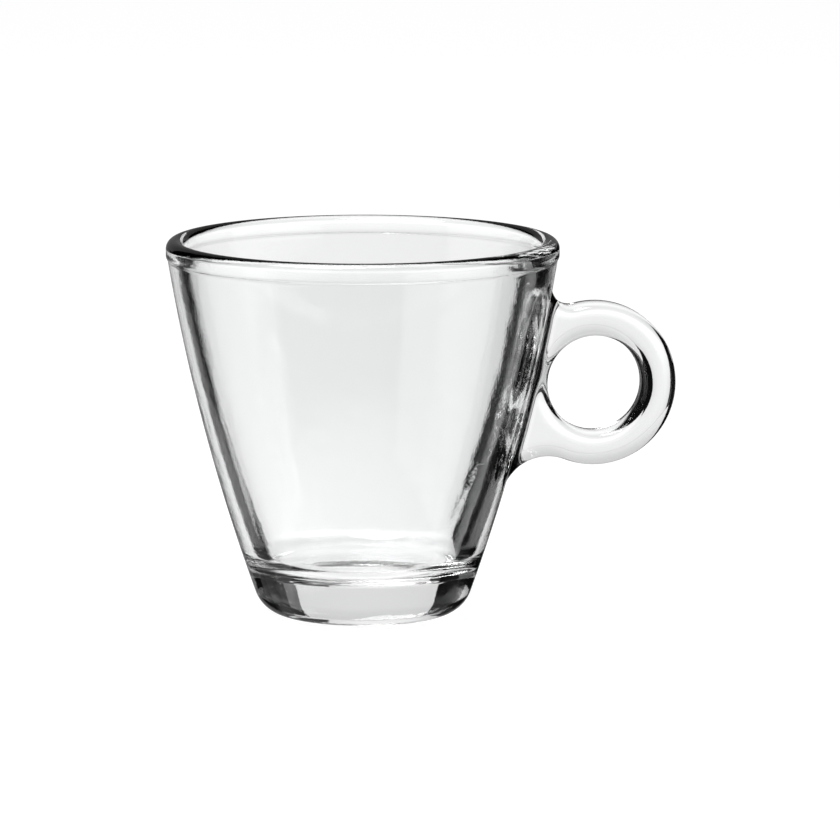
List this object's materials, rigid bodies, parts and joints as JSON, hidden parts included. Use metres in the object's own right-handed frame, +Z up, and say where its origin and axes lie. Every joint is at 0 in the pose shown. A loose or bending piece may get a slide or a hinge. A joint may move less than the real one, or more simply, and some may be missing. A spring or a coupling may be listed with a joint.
{
  "type": "mulled wine mug",
  "caption": "Small clear pressed-glass mug for mulled wine: conical bowl with a heavy solid base, beaded rim and a ring handle on its side.",
  "frame": {"origin": "on the bowl's axis at the table, the plane of the bearing ring under the base", "axes": "+Z up along the bowl's axis, +X out through the middle of the handle, +Y across the handle's flat faces"},
  "size_m": [0.1175, 0.09, 0.0866],
  "materials": {
    "glass": "clear, polished by fire, faintly wavy from its mould"
  },
  "bodies": {
    "root": {"bowl": "glass", "handle": "glass"}
  },
  "joints": []
}
